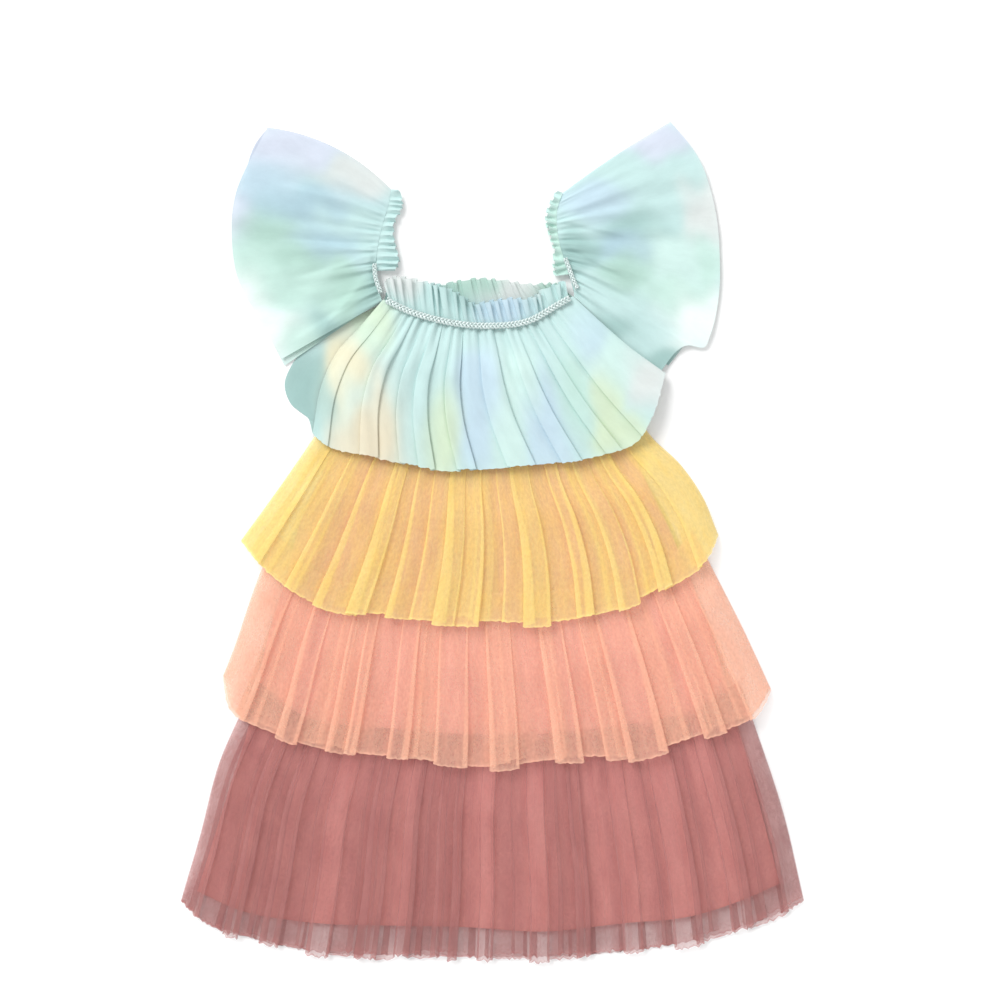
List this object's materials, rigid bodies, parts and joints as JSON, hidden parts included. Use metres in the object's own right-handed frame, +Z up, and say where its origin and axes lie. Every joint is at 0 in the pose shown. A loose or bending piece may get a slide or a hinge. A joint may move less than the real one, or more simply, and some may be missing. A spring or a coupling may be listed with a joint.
{
  "type": "flat-laid tiered tulle dress",
  "caption": "Child's princess costume dress laid flat: gathered neck, flutter sleeves, a dyed voile bodice tier and three pleated tulle tiers over a satin lining",
  "frame": {"origin": "middle of the laid-out dress, on the flat surface that it lies on", "axes": "+Y runs from the hem to the neck, +X to the right as the front is seen, +Z up from the surface"},
  "size_m": [0.5607, 0.755, 0.0219],
  "materials": {
    "dyed_voile": "sheer crinkled voile, tie-dyed aqua, mint, ice blue and cream",
    "yellow_tulle": "fine matt net, yellow, two plies",
    "peach_tulle": "fine matt net, peach, two plies",
    "rose_tulle": "fine matt net, dusty rose, two plies",
    "rose_satin": "soft dusty pink satin lining",
    "silver_braid": "narrow twisted metallic braid"
  },
  "bodies": {
    "root": {"aqua_tier_front": "dyed_voile", "aqua_tier_back": "dyed_voile", "yellow_tier_front": "yellow_tulle", "yellow_tier_back": "yellow_tulle", "peach_tier_front": "peach_tulle", "peach_tier_back": "peach_tulle", "rose_tier_front": "rose_tulle", "rose_tier_back": "rose_tulle", "lining_front": "rose_satin", "neck_frill_front": "dyed_voile", "lining_back": "rose_satin", "neck_frill_back": "dyed_voile", "sleeve_left": "dyed_voile", "sleeve_frill_left": "dyed_voile", "sleeve_braid_left": "silver_braid", "sleeve_right": "dyed_voile", "sleeve_frill_right": "dyed_voile", "sleeve_braid_right": "silver_braid", "neck_braid_front": "silver_braid"}
  },
  "joints": []
}
